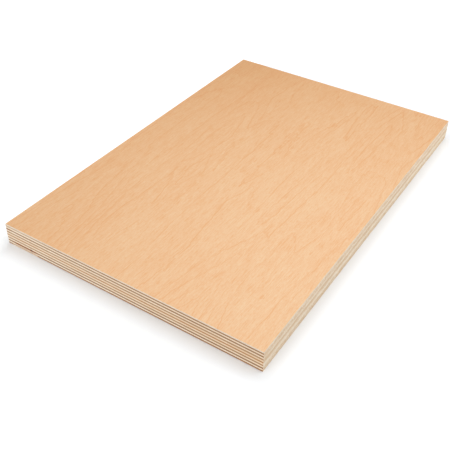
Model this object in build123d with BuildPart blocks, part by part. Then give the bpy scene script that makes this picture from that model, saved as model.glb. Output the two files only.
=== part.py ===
from build123d import *

import os

# A panel of birch plywood, cut to size and lying flat with its face up.
# A decorative face veneer is glued over thirteen birch plies. The odd plies run
# their grain along the panel and the even ones across it, so every ply shows end
# grain on one pair of sides and side grain on the other.
# The origin is at the middle of the underside: +X along the short sides, +Y along
# the long sides and the grain of the face, +Z up. Sizes are in millimetres.

# Panel
sheet_width = 220.0
sheet_length = 330.0
sheet_thickness = 18.0
arris_ease = 0.25  # the sharp outer edges are sanded off

# Lay-up: the face veneer, and equal plies in what is left of the thickness
face_veneer_thickness = 1.0
ply_count = 13

# Core gap: a slot along the grain, where two strips of an inner ply do not quite
# meet. It opens in the near short side and closes towards the middle of the panel.
gap_ply_number = 11
gap_from_left_side = 23.5
gap_mouth_width = 1.2
gap_tip_width = 0.3
gap_depth = 45.0

# Places that follow from the sizes above
plies_top = sheet_thickness - face_veneer_thickness
ply_thickness = plies_top / ply_count
near_side = -sheet_length / 2
gap_tip = near_side + gap_depth
gap_centre = gap_from_left_side - sheet_width / 2

os.makedirs("parts", exist_ok=True)

# Face veneer, with its upper arris eased
with BuildPart() as face_veneer:
    with BuildSketch(Plane.XY.offset(plies_top)):
        Rectangle(sheet_width, sheet_length)
    extrude(amount=face_veneer_thickness)
    chamfer(face_veneer.faces().sort_by(Axis.Z)[-1].edges(), arris_ease)

face_veneer.part.label = "face_veneer"
export_step(face_veneer.part, "parts/face_veneer.step")

# Plies, counted from the one under the face veneer down to the back of the panel
for number in range(1, ply_count + 1):
    with BuildPart() as ply:
        with BuildSketch(Plane.XY.offset(plies_top - number * ply_thickness)):
            Rectangle(sheet_width, sheet_length)
            if number == gap_ply_number:
                with BuildLine():
                    Polyline(
                        (gap_centre - gap_mouth_width / 2, near_side),
                        (gap_centre + gap_mouth_width / 2, near_side),
                        (gap_centre + gap_tip_width / 2, gap_tip),
                        (gap_centre - gap_tip_width / 2, gap_tip),
                        close=True,
                    )
                make_face(mode=Mode.SUBTRACT)
        extrude(amount=ply_thickness)
        if number == ply_count:
            chamfer(ply.faces().sort_by(Axis.Z)[0].edges(), arris_ease)

    ply.part.label = f"ply_{number:02d}"
    export_step(ply.part, f"parts/{ply.part.label}.step")
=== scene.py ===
# %% [markdown]
# # A small panel of birch plywood
# The panel lies flat, face up, on a white studio floor. Plywood is a stack of thin
# veneers, and each veneer runs its grain across the one below. That crossing is what
# we see on the sawn sides: a ply cut across its fibres looks brown, and a ply cut
# along them looks pale. In this lesson every veneer is a mesh of its own, so that the
# stripes are real layers and not paint on a block.

# %% Load the frame
from math import radians

import bmesh
import bpy
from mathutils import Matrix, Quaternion, Vector


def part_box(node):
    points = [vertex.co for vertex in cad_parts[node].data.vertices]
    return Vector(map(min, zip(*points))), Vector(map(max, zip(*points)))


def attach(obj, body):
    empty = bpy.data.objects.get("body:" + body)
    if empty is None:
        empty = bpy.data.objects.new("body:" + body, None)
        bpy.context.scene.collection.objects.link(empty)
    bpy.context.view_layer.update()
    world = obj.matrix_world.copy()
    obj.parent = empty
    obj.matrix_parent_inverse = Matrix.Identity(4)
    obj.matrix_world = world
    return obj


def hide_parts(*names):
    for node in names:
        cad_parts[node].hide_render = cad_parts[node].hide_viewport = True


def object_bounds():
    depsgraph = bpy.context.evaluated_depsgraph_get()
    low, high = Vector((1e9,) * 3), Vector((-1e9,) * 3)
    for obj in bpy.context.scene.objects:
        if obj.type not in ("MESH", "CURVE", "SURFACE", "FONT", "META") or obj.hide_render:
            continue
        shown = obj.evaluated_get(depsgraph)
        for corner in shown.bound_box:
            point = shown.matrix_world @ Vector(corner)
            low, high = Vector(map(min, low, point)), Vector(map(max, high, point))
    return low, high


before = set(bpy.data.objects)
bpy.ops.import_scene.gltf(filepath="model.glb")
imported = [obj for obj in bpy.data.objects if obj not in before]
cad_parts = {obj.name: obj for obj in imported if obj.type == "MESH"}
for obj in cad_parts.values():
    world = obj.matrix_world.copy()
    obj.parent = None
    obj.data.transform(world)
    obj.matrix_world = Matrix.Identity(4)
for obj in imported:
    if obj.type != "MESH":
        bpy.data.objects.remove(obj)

MM = 0.001
cad_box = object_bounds()
panel_low = Vector(cad_box[0])
panel_high = Vector(cad_box[1])
plies = sorted(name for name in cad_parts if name.startswith("ply_"))
print("panel", [round(size / MM, 2) for size in panel_high - panel_low], "mm,", len(plies), "plies")

# %% [markdown]
# ## Working in edit mode from a script
# Operators act on what is selected, just as they do by hand. These helpers keep that
# tidy: one clears the selection, one makes a piece the active one, one picks edges by a
# test on where their ends are, and one adds a modifier and applies it at once.

# %% Selection and modifier helpers
def deselect_all():
    if bpy.context.mode != "OBJECT":
        bpy.ops.object.mode_set(mode="OBJECT")
    bpy.ops.object.select_all(action="DESELECT")


def activate(piece):
    deselect_all()
    piece.select_set(True)
    bpy.context.view_layer.objects.active = piece


def select_edges(piece, wanted):
    bpy.ops.mesh.select_mode(type="EDGE")
    bpy.ops.mesh.select_all(action="DESELECT")
    mesh = bmesh.from_edit_mesh(piece.data)
    for edge in mesh.edges:
        edge.select_set(wanted(*(vert.co for vert in edge.verts)))
    bmesh.update_edit_mesh(piece.data)


def apply_modifier(piece, kind, **settings):
    activate(piece)
    modifier = piece.modifiers.new(kind.lower(), kind)
    for setting, value in settings.items():
        setattr(modifier, setting, value)
    bpy.ops.object.modifier_apply(modifier=modifier.name)


# %% [markdown]
# ## A blank veneer
# A cube would do for the outline, but its sides would be single faces, with nothing to
# carry the marks of the saw. So we start from a plane, keep only its four edges, divide
# them finely, fill the outline and extrude it to the thickness of the veneer. The sides
# then have a face every millimetre, and the hidden middle stays one face. The edges are
# picked again before each division, because Subdivide also selects the edges that run
# between two selected points.

# %% Cut a blank to a CAD node's box
COARSE_STEP = 10 * MM
FINE_CUTS = 9
SIDE_ROWS = 3
TINY = 0.01 * MM


def cut_blank(name, low, high):
    deselect_all()
    middle = (low + high) / 2
    bpy.ops.mesh.primitive_plane_add(size=1, location=(middle.x, middle.y, low.z))
    blank = bpy.context.object
    blank.name = blank.data.name = name
    blank.scale = (high.x - low.x, high.y - low.y, 1)
    bpy.ops.object.transform_apply(location=True, rotation=True, scale=True)

    bpy.ops.object.mode_set(mode="EDIT")
    bpy.ops.mesh.delete(type="ONLY_FACE")
    for axis in range(2):
        coarse_cuts = round((high[axis] - low[axis]) / COARSE_STEP) - 1
        for cuts in (coarse_cuts, FINE_CUTS):
            select_edges(blank, lambda a, b: abs(a[axis] - b[axis]) > TINY)
            bpy.ops.mesh.subdivide(number_cuts=cuts)
    bpy.ops.mesh.select_all(action="SELECT")
    bpy.ops.mesh.edge_face_add()
    bpy.ops.mesh.extrude_region_move(TRANSFORM_OT_translate={"value": (0, 0, high.z - low.z)})
    select_edges(blank, lambda a, b: abs(a.z - b.z) > TINY)
    bpy.ops.mesh.subdivide(number_cuts=SIDE_ROWS - 1)
    bpy.ops.mesh.select_all(action="SELECT")
    bpy.ops.mesh.normals_make_consistent(inside=False)
    bpy.ops.object.mode_set(mode="OBJECT")
    return blank


# %% [markdown]
# ## Arrises
# The upper and lower arrises of the panel are sanded round. Between the plies the edges
# are only a hair softer than sharp, which leaves a fine groove along every glue line.
# The Bevel operator does both, with a wide and a narrow offset.

# %% Ease the arrises
OUTER_EASE = 0.25 * MM
OUTER_SEGMENTS = 3
GLUE_EASE = 0.04 * MM


def ease_arrises(piece, low, high):
    activate(piece)
    bpy.ops.object.mode_set(mode="EDIT")
    for level in (low.z, high.z):
        outer = min(level - panel_low.z, panel_high.z - level) < TINY
        select_edges(piece, lambda a, b: max(abs(a.z - level), abs(b.z - level)) < TINY)
        if outer:
            bpy.ops.mesh.bevel(offset=OUTER_EASE, segments=OUTER_SEGMENTS)
        else:
            bpy.ops.mesh.bevel(offset=GLUE_EASE, segments=1)
    bpy.ops.object.mode_set(mode="OBJECT")


# %% [markdown]
# ## From one blank to fourteen veneers
# The plies inside the panel have the same size, so one is modelled and copied, each copy
# with a mesh of its own. The face veneer and the last ply carry the rounded arrises and
# are cut for themselves.

# %% Make the veneers
veneers = {}
inner_blank = None
for node in ["face_veneer"] + plies:
    low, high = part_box(node)
    name = node + "_wood"
    if inner_blank and node != plies[-1]:
        piece = inner_blank.copy()
        piece.data = inner_blank.data.copy()
        piece.name = piece.data.name = name
        bpy.context.collection.objects.link(piece)
        activate(piece)
        bpy.ops.transform.translate(value=(0, 0, low.z - inner_low))
        bpy.ops.object.transform_apply(location=True, rotation=True, scale=True)
    else:
        piece = cut_blank(name, low, high)
        ease_arrises(piece, low, high)
        if node == plies[0]:
            inner_blank = piece
            inner_low = low.z
    veneers[node] = piece
print(len(veneers), "veneers,", sum(len(piece.data.polygons) for piece in veneers.values()), "faces")

# %% [markdown]
# ## The core gap
# In the eleventh ply two strips of veneer do not quite meet, and a dark slot opens in the
# near side. The CAD node has that slot. We model it as a tapered cutter, wider at the
# mouth, and take it out of the ply with a Boolean. The cutter is a cube whose far end is
# scaled in, and it is deleted after the cut.

# %% Cut the core gap
GAP_NUMBER = 11
GAP_PLY = f"ply_{GAP_NUMBER:02d}"
GAP_CENTRE = -86.5 * MM
GAP_MOUTH = 1.2 * MM
GAP_TIP = 0.3 * MM
GAP_DEPTH = 45 * MM
GAP_OVERSHOOT = 1 * MM

low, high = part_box(GAP_PLY)
gap_middle = Vector((GAP_CENTRE, low.y + GAP_DEPTH / 2, (low.z + high.z) / 2))
deselect_all()
bpy.ops.mesh.primitive_cube_add(size=1, location=gap_middle)
cutter = bpy.context.object
cutter.scale = (GAP_MOUTH, GAP_DEPTH, high.z - low.z + 2 * GAP_OVERSHOOT)
bpy.ops.object.transform_apply(location=True, rotation=True, scale=True)
bpy.ops.object.mode_set(mode="EDIT")
select_edges(cutter, lambda a, b: min(a.y, b.y) > gap_middle.y)
bpy.ops.transform.resize(value=(GAP_TIP / GAP_MOUTH, 1, 1), center_override=gap_middle)
select_edges(cutter, lambda a, b: max(a.y, b.y) < gap_middle.y)
bpy.ops.transform.translate(value=(0, -GAP_OVERSHOOT, 0))
bpy.ops.object.mode_set(mode="OBJECT")
apply_modifier(veneers[GAP_PLY], "BOOLEAN", operation="DIFFERENCE", object=cutter, solver="EXACT")
bpy.data.objects.remove(cutter)
print("core gap cut,", len(veneers[GAP_PLY].data.polygons), "faces in", GAP_PLY)

# %% [markdown]
# ## Peeled veneer and sawn sides
# Peeled veneer is never quite even, so the glue lines wander by a tenth of a millimetre,
# and the saw leaves the sides a little rough. Two Displace modifiers do that. Both read a
# clouds texture through an empty, whose scale sets how far the pattern stretches along
# each axis. Neighbours read the same texture at the same place, so two plies still meet
# along a glue line that wanders. The saw marks only go inwards.

# %% Wander the glue lines and rough the sides
GLUE_WANDER = 0.16 * MM
WANDER_STRETCH = (16 * MM, 16 * MM, 0.9 * MM)
SAW_DEPTH = 0.05 * MM
SAW_STRETCH = (1.6 * MM, 1.6 * MM, 9 * MM)
CLEAR_OF_ARRIS = 2 * OUTER_EASE


def texture_space(name, stretch):
    deselect_all()
    bpy.ops.object.empty_add(location=(0, 0, 0))
    space = bpy.context.object
    space.name = name
    space.scale = stretch
    clouds = bpy.data.textures.new(name, "CLOUDS")
    clouds.noise_scale = 1
    bpy.context.view_layer.update()
    return {"texture": clouds, "texture_coords": "OBJECT", "texture_coords_object": space}


def weigh(piece, name, weight_of):
    group = piece.vertex_groups.new(name=name)
    for vert in piece.data.vertices:
        weight = weight_of(vert.co)
        if weight:
            group.add([vert.index], weight, "REPLACE")
    return name


def at_glue_line(co):
    return float(panel_low.z + CLEAR_OF_ARRIS < co.z < panel_high.z - CLEAR_OF_ARRIS)


def on_side(co):
    beside = min(panel_high.x - abs(co.x), panel_high.y - abs(co.y))
    return float(beside < TINY)


wander_space = texture_space("veneer_wander", WANDER_STRETCH)
saw_space = texture_space("saw_marks", SAW_STRETCH)
for piece in veneers.values():
    glue_lines = weigh(piece, "glue_lines", at_glue_line)
    sides = weigh(piece, "sides", on_side)
    wander = {"direction": "Z", "strength": GLUE_WANDER, "mid_level": 0.5, "vertex_group": glue_lines}
    apply_modifier(piece, "DISPLACE", **wander, **wander_space)
    saw_marks = {"direction": "NORMAL", "strength": SAW_DEPTH, "mid_level": 1, "vertex_group": sides}
    apply_modifier(piece, "DISPLACE", **saw_marks, **saw_space)
    piece.vertex_groups.clear()
for space in (wander_space, saw_space):
    bpy.data.objects.remove(space["texture_coords_object"])
print("glue lines wander by", round(GLUE_WANDER / MM / 2, 2), "mm to each side")

# %% [markdown]
# ## Wood from noise
# Wood is made here from noise that is drawn out along the grain. One helper adds a node
# and fills its inputs, one does sums, one gives noise with grains of a stated size in
# millimetres, one turns a range of values into a smooth step, and one blends two colours.
# The last two turn a colour as we would pick it on screen into the linear numbers that
# shader sockets take, and start a material.

# %% Node helpers
def add(tree, kind, inputs, **settings):
    node = tree.nodes.new("ShaderNode" + kind)
    for setting, value in settings.items():
        setattr(node, setting, value)
    for socket, value in inputs.items():
        if isinstance(value, bpy.types.NodeSocket):
            tree.links.new(value, node.inputs[socket])
        else:
            node.inputs[socket].default_value = value
    return node


def maths(tree, operation, first, second=0.0, third=0.0):
    return add(tree, "Math", {0: first, 1: second, 2: third}, operation=operation).outputs[0]


def grains(tree, place, size, detail=2.0, shift=0.0):
    stretch = {"Vector": place, "Location": [shift] * 3, "Scale": [1 / (side * MM) for side in size]}
    drawn_out = add(tree, "Mapping", stretch).outputs[0]
    return add(tree, "TexNoise", {"Vector": drawn_out, "Scale": 1, "Detail": detail}).outputs["Fac"]


def step(tree, value, low, high, to_low=0.0, to_high=1.0):
    limits = {"Value": value, "From Min": low, "From Max": high, "To Min": to_low, "To Max": to_high}
    return add(tree, "MapRange", limits, interpolation_type="SMOOTHSTEP").outputs["Result"]


def blend(tree, share, first, second, kind="MIX"):
    share_socket, first_socket, second_socket, colour_out = 0, 6, 7, 2
    inputs = {share_socket: share, first_socket: first, second_socket: second}
    return add(tree, "Mix", inputs, data_type="RGBA", blend_type=kind).outputs[colour_out]


def tone(red, green, blue):
    return [((level / 255 + 0.055) / 1.055) ** 2.4 for level in (red, green, blue)] + [1]


def new_finish(name):
    finish = bpy.data.materials.new(name)
    finish.use_nodes = True
    tree = finish.node_tree
    place = add(tree, "TexCoord", {}).outputs["Object"]
    return finish, tree, tree.nodes["Principled BSDF"], place


# %% [markdown]
# ## The figure of peeled veneer
# A log that is peeled like a pencil shows its year rings as a map shows hills: wherever
# the knife runs level with a ring, the ring closes into a long loop, a flame or a zigzag.
# So the figure is a height map with contour lines. Broad noise makes the hills, finer
# noise bends and frays the lines, and a few long flames are set where the photograph shows
# them. A line is drawn wherever the number of the ring changes within a line's width, so
# that it stays equally thin on steep and on gentle slopes.

# %% Height of the rings
RING_GRAINS = (
    {"size": (38, 260, 38), "detail": 0, "shift": 0, "rings": 7},
    {"size": (13, 75, 13), "detail": 0, "shift": 5, "rings": 1.2},
    {"size": (1.8, 13, 1.8), "detail": 1, "shift": 9, "rings": 0.4},
)
FACE_FLAMES = (
    {"x": 38, "y": 38, "half_width": 16, "half_length": 112, "rings": 2.0},
    {"x": -84, "y": -175, "half_width": 48, "half_length": 165, "rings": 4.5},
    {"x": -34, "y": 108, "half_width": 24, "half_length": 105, "rings": 2.6},
    {"x": 70, "y": 122, "half_width": 16, "half_length": 105, "rings": 1.8},
    {"x": 51, "y": -170, "half_width": 34, "half_length": 125, "rings": 3.6},
    {"x": -36, "y": -28, "half_width": 15, "half_length": 70, "rings": 2.4},
    {"x": 16, "y": -50, "half_width": 14, "half_length": 60, "rings": 1.6},
    {"x": 82, "y": -40, "half_width": 16, "half_length": 65, "rings": 2.0},
    {"x": 132, "y": 70, "half_width": 60, "half_length": 120, "rings": 4.0},
)


def flame(tree, place, x, y, half_width, half_length, rings):
    scale = (1 / (half_width * MM), 1 / (half_length * MM), 0)
    shift = (-x / half_width, -y / half_length, 0)
    from_tip = add(tree, "Mapping", {"Vector": place, "Location": shift, "Scale": scale}).outputs[0]
    away = add(tree, "VectorMath", {0: from_tip}, operation="ABSOLUTE").outputs[0]
    total = add(tree, "VectorMath", {0: away, 1: (1, 1, 0)}, operation="DOT_PRODUCT").outputs["Value"]
    return maths(tree, "MULTIPLY", maths(tree, "MAXIMUM", maths(tree, "SUBTRACT", 1, total), 0), rings)


def ring_height(tree, place, flames, shift):
    height = 0
    for grain in RING_GRAINS:
        noise = grains(tree, place, grain["size"], grain["detail"], shift + grain["shift"])
        height = maths(tree, "MULTIPLY_ADD", noise, grain["rings"], height)
    for shape in flames:
        height = maths(tree, "ADD", height, flame(tree, place, **shape))
    return height


# %% Contour lines
LINE_WIDTH = 0.7 * MM
FADE_SIZE = (22, 60, 22)
FADE_SHIFT = 3
FADE_RANGE = (0.35, 0.65)
FAINTEST_LINE = 0.25


def ring_lines(tree, place, flames, shift):
    beside = add(tree, "VectorMath", {0: place, 1: (LINE_WIDTH, 0, 0)}, operation="ADD").outputs[0]
    here = ring_height(tree, place, flames, shift)
    there = ring_height(tree, beside, flames, shift)
    rings_apart = maths(tree, "SUBTRACT", maths(tree, "FLOOR", here), maths(tree, "FLOOR", there))
    line = maths(tree, "MINIMUM", maths(tree, "ABSOLUTE", rings_apart), 1)
    clouds = grains(tree, place, FADE_SIZE, shift=shift + FADE_SHIFT)
    fading = step(tree, clouds, *FADE_RANGE, FAINTEST_LINE, 1)
    return maths(tree, "MULTIPLY", line, fading), maths(tree, "FRACT", here)


# %% [markdown]
# ## Face veneer
# The face is a tan veneer, sanded and left matt. Its darker wood is not only darker but
# more orange, so the two colours of the blend differ most in blue. Fibres, short dark
# dashes and pores run along the panel, and the relief and the roughness follow the
# fibres. A painted shade is multiplied over the figure. There is none at the near right,
# and away from there a darker, more orange tint grows with the distance. It stands for
# the light and sheen falling off across the face. On the sawn sides the veneer shows as a
# pale line, which the upward part of the normal sets apart.

# %% Face veneer finish
FACE_PALE = tone(237, 204, 166)
FACE_DARK = tone(230, 176, 129)
FACE_GRAINS = {
    "fibres": {"size": (0.7, 9, 0.7), "detail": 3, "shift": 2, "range": (0.25, 0.75), "weight": 0.42},
    "dashes": {"size": (0.6, 13, 0.6), "detail": 1, "shift": 7, "range": (0.58, 0.74), "weight": 0.5},
    "clouds": {"size": (32, 80, 32), "detail": 2, "shift": 4, "range": (0.3, 0.7), "weight": 0.1},
    "pores": {"size": (0.45, 2.4, 0.45), "detail": 1, "shift": 8, "range": (0.35, 0.8), "weight": 0.42},
    "bands": {"size": (3, 26, 3), "detail": 1, "shift": 6, "range": (0.3, 0.7), "weight": 0.1},
}
LATE_WOOD_WEIGHT = 0.1
LATE_WOOD_POWER = 3
LINE_WEIGHT = 0.55
LINE_RELIEF = -0.5
RELIEF_DEPTH = 0.05 * MM
FACE_BUMP = 0.08
FACE_ROUGHNESS = (0.48, 0.60)
ROUGHNESS_RANGE = (0.2, 0.8)
FACE_SPECULAR = 0.08
# The painted shade of the face starts at this spot and grows with the distance from it.
UNSHADED_SPOT = (150 * MM, -107 * MM, panel_high.z)
PAINTED_SHADE_TINT = (0.77, 0.66, 0.53, 1)
PAINTED_SHADE_SPAN = 370 * MM
FACE_EDGE = tone(226, 215, 199)
LEVEL_RANGE = (0.6, 0.98)


def face_finish():
    finish, tree, shader, place = new_finish("tan_face_veneer")
    line, age = ring_lines(tree, place, FACE_FLAMES, 0)
    noise = {}
    darkness = 0
    for name, grain in FACE_GRAINS.items():
        noise[name] = grains(tree, place, grain["size"], grain["detail"], grain["shift"])
        dark = step(tree, noise[name], *grain["range"])
        darkness = maths(tree, "MULTIPLY_ADD", dark, grain["weight"], darkness)
    late_wood = maths(tree, "POWER", age, LATE_WOOD_POWER)
    darkness = maths(tree, "MULTIPLY_ADD", late_wood, LATE_WOOD_WEIGHT, darkness)
    darkness = maths(tree, "MULTIPLY_ADD", line, LINE_WEIGHT, darkness)
    figure = blend(tree, darkness, FACE_PALE, FACE_DARK)
    # Painted shade: a darker, more orange tint that grows away from the near right stands for light and
    # sheen falling off.
    away = add(tree, "VectorMath", {0: place, 1: UNSHADED_SPOT}, operation="DISTANCE").outputs["Value"]
    painted_shade = maths(tree, "POWER", maths(tree, "DIVIDE", away, PAINTED_SHADE_SPAN), 2)
    figure = blend(tree, painted_shade, figure, PAINTED_SHADE_TINT, "MULTIPLY")
    normal = add(tree, "NewGeometry", {}).outputs["True Normal"]
    upward = add(tree, "SeparateXYZ", {0: normal}).outputs["Z"]
    colour = blend(tree, step(tree, upward, *LEVEL_RANGE), FACE_EDGE, figure)
    tree.links.new(colour, shader.inputs["Base Color"])
    roughness = step(tree, noise["fibres"], *ROUGHNESS_RANGE, *FACE_ROUGHNESS)
    tree.links.new(roughness, shader.inputs["Roughness"])
    shader.inputs["Specular IOR Level"].default_value = FACE_SPECULAR
    relief = maths(tree, "MULTIPLY_ADD", line, LINE_RELIEF, noise["fibres"])
    bump = add(tree, "Bump", {"Height": relief, "Strength": FACE_BUMP, "Distance": RELIEF_DEPTH})
    tree.links.new(bump.outputs[0], shader.inputs["Normal"])
    return finish


# %% [markdown]
# ## Sawn plies
# A ply shows end grain on one pair of sides and side grain on the other. The true normal
# of a face says which side it is on, so one finish serves the whole ply. On the short
# sides the end grain of every second ply is brown, and that of the seventh and the last is
# more orange. The long sides are cut cleaner, and there the end grain is hardly darker than
# the side grain, but more mottled. Each ply has its own share of darker heartwood on the
# short sides and on the long ones, because each comes from another sheet. The near side
# also has marks of its own: a brown stain round the core gap, a dark fleck at the left
# corner, and two plies whose ends are paler there. In and round the mouth of the gap, a dark
# brown painted shade stands for the shade in the slot. The last ply is also the back of
# the panel, and its underside shows the figure of plain birch veneer.

# %% Wood of one ply
END_GRAIN = {"sap": tone(188, 147, 105), "heart": tone(150, 108, 70)}
ORANGE_END_GRAIN = {"sap": tone(185, 134, 85), "heart": tone(150, 96, 42)}
ORANGE_NUMBERS = (7, 13)
SIDE_GRAIN = {"sap": tone(239, 225, 205), "heart": tone(221, 191, 155)}
LONG_SIDE_HEART = (0.7, 0.65, 0.85, 0.2, 0.4, 1.4, 1.05, 0.25, 0.05, 0.2, 0.9, 0.65, 0.9)
SHORT_SIDE_HEART = (0.75, 0.25, 1.05, 0.3, 0.45, 0.5, 0.05, 0.4, 0.45, 0.25, 1.05, 0.05, 0.75)
HEART_DRIFT = 0.16
END_GRAIN_LEFT = 0.88
END_GRAIN_LONG_SIDE = 0.1


def ply_shares(tree, place, number, on_long_side):
    heart_share = SHORT_SIDE_HEART[number - 1]
    at_x = add(tree, "SeparateXYZ", {0: place}).outputs["X"]
    if number % 2:
        brown = step(tree, at_x, panel_low.x, panel_high.x, END_GRAIN_LEFT, 1)
        end_grain = maths(tree, "MULTIPLY", brown, maths(tree, "SUBTRACT", 1, on_long_side))
    else:
        end_grain = maths(tree, "MULTIPLY", on_long_side, END_GRAIN_LONG_SIDE)
        ends = (heart_share - HEART_DRIFT, heart_share + HEART_DRIFT)
        heart_share = step(tree, at_x, panel_low.x, panel_high.x, *ends)
    heart_share = step(tree, on_long_side, 0, 1, heart_share, LONG_SIDE_HEART[number - 1])
    return end_grain, heart_share


# %% Mottle of a sawn ply
PLY_GRAINS = {
    "patches": {"size": (6, 6, 1.5), "detail": 3, "weight": 0.4},
    "threads": {"size": (10, 10, 0.3), "detail": 3, "weight": 0.2},
    "saw_marks": {"size": (0.7, 0.7, 6), "detail": 1, "weight": 0.4},
}
PLY_GRAIN_RANGE = (0.3, 0.7)
MIDDLE_OF_MOTTLE = 0.5
SHORT_SIDE_MOTTLE = 0.55
LONG_SIDE_MOTTLE = 2.1


def sawn_mottle(tree, place, number, on_long_side):
    noise = {}
    mottle = -MIDDLE_OF_MOTTLE
    for name, grain in PLY_GRAINS.items():
        drawn_out = grains(tree, place, grain["size"], grain["detail"], number)
        noise[name] = step(tree, drawn_out, *PLY_GRAIN_RANGE)
        mottle = maths(tree, "MULTIPLY_ADD", noise[name], grain["weight"], mottle)
    strength = step(tree, on_long_side, 0, 1, SHORT_SIDE_MOTTLE, LONG_SIDE_MOTTLE)
    return maths(tree, "MULTIPLY", mottle, strength), noise["threads"]


# %% Marks and the gap's painted shade on the near side
STAIN = tone(150, 86, 22)
# GAP_SHADE is painted shade: a dark brown for the shade inside the core gap and round its mouth.
GAP_SHADE = tone(124, 58, 6)
PALE_MARKS = {
    1: {"centre": -110, "full": 15, "gone": 60, "strength": 0.5},
    13: {"centre": -93.5, "full": 12, "gone": 13.5, "strength": 0.65},
}
DARK_MARKS = {
    3: {"centre": -107.8, "full": 1.2, "gone": 2.2, "strength": 0.95},
    11: {"centre": -93, "full": 7, "gone": 17, "strength": 0.9},
    12: {"centre": -92, "full": 7, "gone": 15, "strength": 0.34},
}
# Reach of the gap's painted shade, and the small share of it on the sideways faces of the plies above
# and below.
GAP_SHADE_MARK = {"centre": GAP_CENTRE / MM, "full": 0.8, "gone": 1.4, "strength": 0.95}
GAP_SHADE_SIDEWAYS = 0.2


def near_mark(tree, place, centre, full, gone, strength):
    at = add(tree, "SeparateXYZ", {0: place}).outputs
    away = maths(tree, "ABSOLUTE", maths(tree, "SUBTRACT", at["X"], centre * MM))
    mark = step(tree, away, full * MM, gone * MM, strength, 0)
    return maths(tree, "MULTIPLY", mark, maths(tree, "LESS_THAN", at["Y"], 0))


def darken_marks(tree, place, number, upright, colour):
    if number in DARK_MARKS:
        colour = blend(tree, near_mark(tree, place, **DARK_MARKS[number]), colour, STAIN)
    # Painted shade of the core gap. The gap ply takes it in full. The plies above and below take it in
    # full inside the slot and a small share on the near side.
    if abs(number - GAP_NUMBER) <= 1:
        shade = near_mark(tree, place, **GAP_SHADE_MARK)
        if number != GAP_NUMBER:
            level = maths(tree, "ABSOLUTE", upright)
            shade = maths(tree, "MULTIPLY", shade, step(tree, level, *LEVEL_RANGE, GAP_SHADE_SIDEWAYS, 1))
        colour = blend(tree, shade, colour, GAP_SHADE)
    return colour


# %% Back of the panel
BACK_SHIFT = 30
BACK_LINE_WEIGHT = 0.6
BACK_THREAD_WEIGHT = 0.3


def cover_back(tree, place, threads, upright, colour):
    line = ring_lines(tree, place, (), BACK_SHIFT)[0]
    shade = maths(tree, "MULTIPLY", threads, BACK_THREAD_WEIGHT)
    shade = maths(tree, "MULTIPLY_ADD", line, BACK_LINE_WEIGHT, shade)
    back = blend(tree, shade, SIDE_GRAIN["sap"], SIDE_GRAIN["heart"])
    downward = maths(tree, "MULTIPLY", upright, -1)
    return blend(tree, step(tree, downward, *LEVEL_RANGE), colour, back)


# %% Ply finish
SIDEWAYS = 0.6
PLY_PORES = {"size": (0.5, 0.5, 0.5), "detail": 2}
PLY_BUMP = 0.2
PLY_ROUGHNESS = (0.62, 0.78)
PLY_SPECULAR = 0.2


def ply_finish(number):
    finish, tree, shader, place = new_finish(f"birch_ply_{number:02d}")
    normal = add(tree, "NewGeometry", {}).outputs["True Normal"]
    facing = add(tree, "SeparateXYZ", {0: normal}).outputs
    on_long_side = maths(tree, "GREATER_THAN", maths(tree, "ABSOLUTE", facing["X"]), SIDEWAYS)

    end_grain, heart_share = ply_shares(tree, place, number, on_long_side)
    mottle, threads = sawn_mottle(tree, place, number, on_long_side)
    heart = maths(tree, "ADD", mottle, heart_share)
    end_tones = ORANGE_END_GRAIN if number in ORANGE_NUMBERS else END_GRAIN
    end_colour = blend(tree, heart, end_tones["sap"], end_tones["heart"])
    side_colour = blend(tree, heart, SIDE_GRAIN["sap"], SIDE_GRAIN["heart"])
    if number in PALE_MARKS:
        paler = near_mark(tree, place, **PALE_MARKS[number])
        end_grain = maths(tree, "MULTIPLY", end_grain, maths(tree, "SUBTRACT", 1, paler))
    colour = blend(tree, end_grain, side_colour, end_colour)
    colour = darken_marks(tree, place, number, facing["Z"], colour)
    if number == len(plies):
        colour = cover_back(tree, place, threads, facing["Z"], colour)

    tree.links.new(colour, shader.inputs["Base Color"])
    pores = step(tree, grains(tree, place, **PLY_PORES, shift=number), *PLY_GRAIN_RANGE)
    tree.links.new(step(tree, pores, 0, 1, *PLY_ROUGHNESS), shader.inputs["Roughness"])
    shader.inputs["Specular IOR Level"].default_value = PLY_SPECULAR
    bump = add(tree, "Bump", {"Height": pores, "Strength": PLY_BUMP, "Distance": RELIEF_DEPTH})
    tree.links.new(bump.outputs[0], shader.inputs["Normal"])
    return finish


# %% Dress the veneers
for node, piece in veneers.items():
    finish = ply_finish(int(node[-2:])) if node in plies else face_finish()
    piece.data.materials.append(finish)
    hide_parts(node)
    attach(piece, "root")
print("dressed", ", ".join(veneers))

# %% [markdown]
# ## Floor
# The floor is white paper. It takes the panel's shadow like any matt surface. A glow that
# only the camera, mirrors and glass see lifts the open floor to white, so that the panel
# needs no extra light for it. The glow is faint at the foot of the panel, where the shadow
# lies, and grows away from it. On the left, where less light arrives, there is more of it.

# %% Floor
FLOOR_SIZE = 8
FLOOR_WHITE = (0.83, 0.85, 0.867, 1)
FLOOR_ROUGHNESS = 0.9
GLOW_AT_FOOT = 0.055
GLOW_BESIDE = 0.18
GLOW_FAR = 0.8
GLOW_LEFT = 0.1
LEFT_BLEND = 5 * MM
SHADOW_WIDTH = 20 * MM
GLOW_REACH = 700 * MM


def in_plain_sight(tree):
    ray = add(tree, "LightPath", {}).outputs
    mirrored = maths(tree, "MAXIMUM", ray["Is Glossy Ray"], ray["Is Transmission Ray"])
    return maths(tree, "MAXIMUM", ray["Is Camera Ray"], mirrored)


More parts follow.
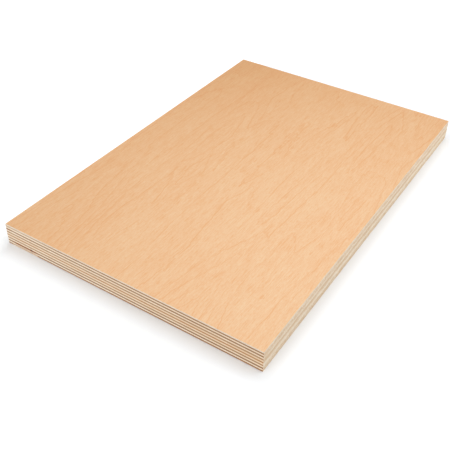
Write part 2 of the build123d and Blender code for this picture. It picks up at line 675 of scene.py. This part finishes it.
deselect_all()
bpy.ops.mesh.primitive_plane_add(size=FLOOR_SIZE, location=(0, 0, panel_low.z))
floor = bpy.context.object
floor.name = "studio_floor"
bpy.ops.object.transform_apply(location=True, rotation=True, scale=True)
paper, tree, shader, place = new_finish("white_paper")
shader.inputs["Base Color"].default_value = FLOOR_WHITE
shader.inputs["Roughness"].default_value = FLOOR_ROUGHNESS
shader.inputs["Specular IOR Level"].default_value = 0
shader.inputs["Emission Color"].default_value = (1, 1, 1, 1)
from_middle = add(tree, "VectorMath", {0: place}, operation="ABSOLUTE").outputs[0]
past_sides = add(tree, "VectorMath", {0: from_middle, 1: panel_high}, operation="SUBTRACT").outputs[0]
outside = add(tree, "VectorMath", {0: past_sides, 1: (0, 0, 0)}, operation="MAXIMUM").outputs[0]
distance = add(tree, "VectorMath", {0: outside}, operation="LENGTH").outputs["Value"]
near_glow = step(tree, distance, 0, SHADOW_WIDTH, GLOW_AT_FOOT, GLOW_BESIDE)
glow = maths(tree, "ADD", near_glow, step(tree, distance, SHADOW_WIDTH, GLOW_REACH, 0, GLOW_FAR))
at_x = add(tree, "SeparateXYZ", {0: place}).outputs["X"]
left_glow = step(tree, at_x, panel_low.x - LEFT_BLEND, panel_low.x + LEFT_BLEND, GLOW_LEFT, 0)
glow = maths(tree, "ADD", glow, left_glow)
tree.links.new(maths(tree, "MULTIPLY", in_plain_sight(tree), glow), shader.inputs["Emission Strength"])
floor.data.materials.append(paper)
print("floor", FLOOR_SIZE, "m square")

# %% [markdown]
# ## Light
# A large softbox hangs overhead, a little to the back right. A low one in front fills the
# short side, and a weaker one on the right fills the long side. Together they light the
# panel at a plain level, at which a colour looks about as it was picked. Wide lights give
# the short, soft shadow at the foot of the panel. The room adds a low, even light, and to
# the camera, mirrors and glass it is plain white.

# %% World and softboxes
ROOM_LEVEL = 0.25
OVERHEAD = {"place": (0.2, 0.4, 1.2), "aim": (0.2, 0.4, 0.0), "size": (1.8, 2.4), "watts": 22}
FRONT_FILL = {"place": (-0.3, -1.5, 0.35), "aim": (0.0, -0.16, 0.01), "size": (1.2, 0.5), "watts": 9.6}
RIGHT_FILL = {"place": (1.4, 0.7, 0.35), "aim": (0.11, 0.05, 0.01), "size": (1.2, 0.5), "watts": 6}

world = bpy.data.worlds.new("bright_room")
bpy.context.scene.world = world
world.use_nodes = True
tree = world.node_tree
background = tree.nodes["Background"]
background.inputs["Color"].default_value = (1, 1, 1, 1)
strength = maths(tree, "MAXIMUM", in_plain_sight(tree), ROOM_LEVEL)
tree.links.new(strength, background.inputs["Strength"])


def hang_softbox(name, place, aim, size, watts):
    deselect_all()
    bpy.ops.object.light_add(type="AREA", location=place)
    softbox = bpy.context.object
    softbox.name = name
    softbox.rotation_euler = (Vector(aim) - Vector(place)).to_track_quat("-Z", "Y").to_euler()
    softbox.data.shape = "RECTANGLE"
    softbox.data.size, softbox.data.size_y = size
    softbox.data.energy = watts
    print(name, watts, "W")


hang_softbox("overhead_softbox", **OVERHEAD)
hang_softbox("front_fill", **FRONT_FILL)
hang_softbox("right_fill", **RIGHT_FILL)

# %% [markdown]
# ## Camera
# The camera stands off the near right corner and looks down by a little more than a third
# of a right angle. Its place is given round the middle of the face, and it aims at a point
# nearer to the front corner, so that the panel fills the frame.

# %% Camera
VIEW_AZIMUTH = 29.88
VIEW_ELEVATION = 34.08
VIEW_DISTANCE = 580.6 * MM
VIEW_ROLL = 1.20
VIEW_AIM = Vector((23.8 * MM, -75.8 * MM, panel_high.z))
LENS = 56.4
SENSOR_WIDTH = 36
NEAREST = 10 * MM

stand_off = Vector((0, -VIEW_DISTANCE, 0))
stand_off.rotate(Quaternion((1, 0, 0), -radians(VIEW_ELEVATION)))
stand_off.rotate(Quaternion((0, 0, 1), radians(VIEW_AZIMUTH)))
deselect_all()
bpy.ops.object.camera_add(location=Vector((0, 0, panel_high.z)) + stand_off)
camera = bpy.context.object
camera.name = "photo_camera"
look = (VIEW_AIM - camera.location).to_track_quat("-Z", "Y")
camera.rotation_mode = "QUATERNION"
camera.rotation_quaternion = look @ Quaternion((0, 0, 1), radians(VIEW_ROLL))
camera.data.sensor_width = SENSOR_WIDTH
camera.data.lens = LENS
camera.data.clip_start = NEAREST
bpy.context.scene.camera = camera
bpy.context.scene.view_settings.view_transform = "Standard"
print("camera at", [round(side / MM) for side in camera.location], "mm")
